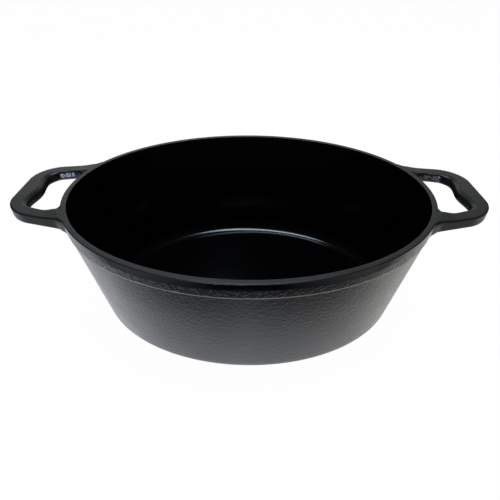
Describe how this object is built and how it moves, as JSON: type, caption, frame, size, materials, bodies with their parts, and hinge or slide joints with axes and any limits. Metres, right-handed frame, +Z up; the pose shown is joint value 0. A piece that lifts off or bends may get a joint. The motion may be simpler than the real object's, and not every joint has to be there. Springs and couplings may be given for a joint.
{
  "type": "oval casserole pot",
  "caption": "Open oval casserole pot in seasoned cast iron, with a tapered wall, a banded rim and a loop handle cast on at each end.",
  "frame": {"origin": "centre of the underside, on the surface that the pot stands on", "axes": "+Z up, +X along the oval towards the right handle, +Y towards the far long side"},
  "size_m": [0.4008, 0.25, 0.1153],
  "materials": {
    "floor_iron": "seasoned cast iron, smooth black inside, fine as-cast grain outside",
    "wall_iron": "seasoned cast iron, smooth black inside, as-cast sand grain outside",
    "rim_iron": "seasoned cast iron, ground smooth on top",
    "handle_iron": "seasoned cast iron, satin"
  },
  "bodies": {
    "root": {"base": "floor_iron", "side_wall": "wall_iron", "rim": "rim_iron", "right_handle": "handle_iron", "left_handle": "handle_iron"}
  },
  "joints": []
}
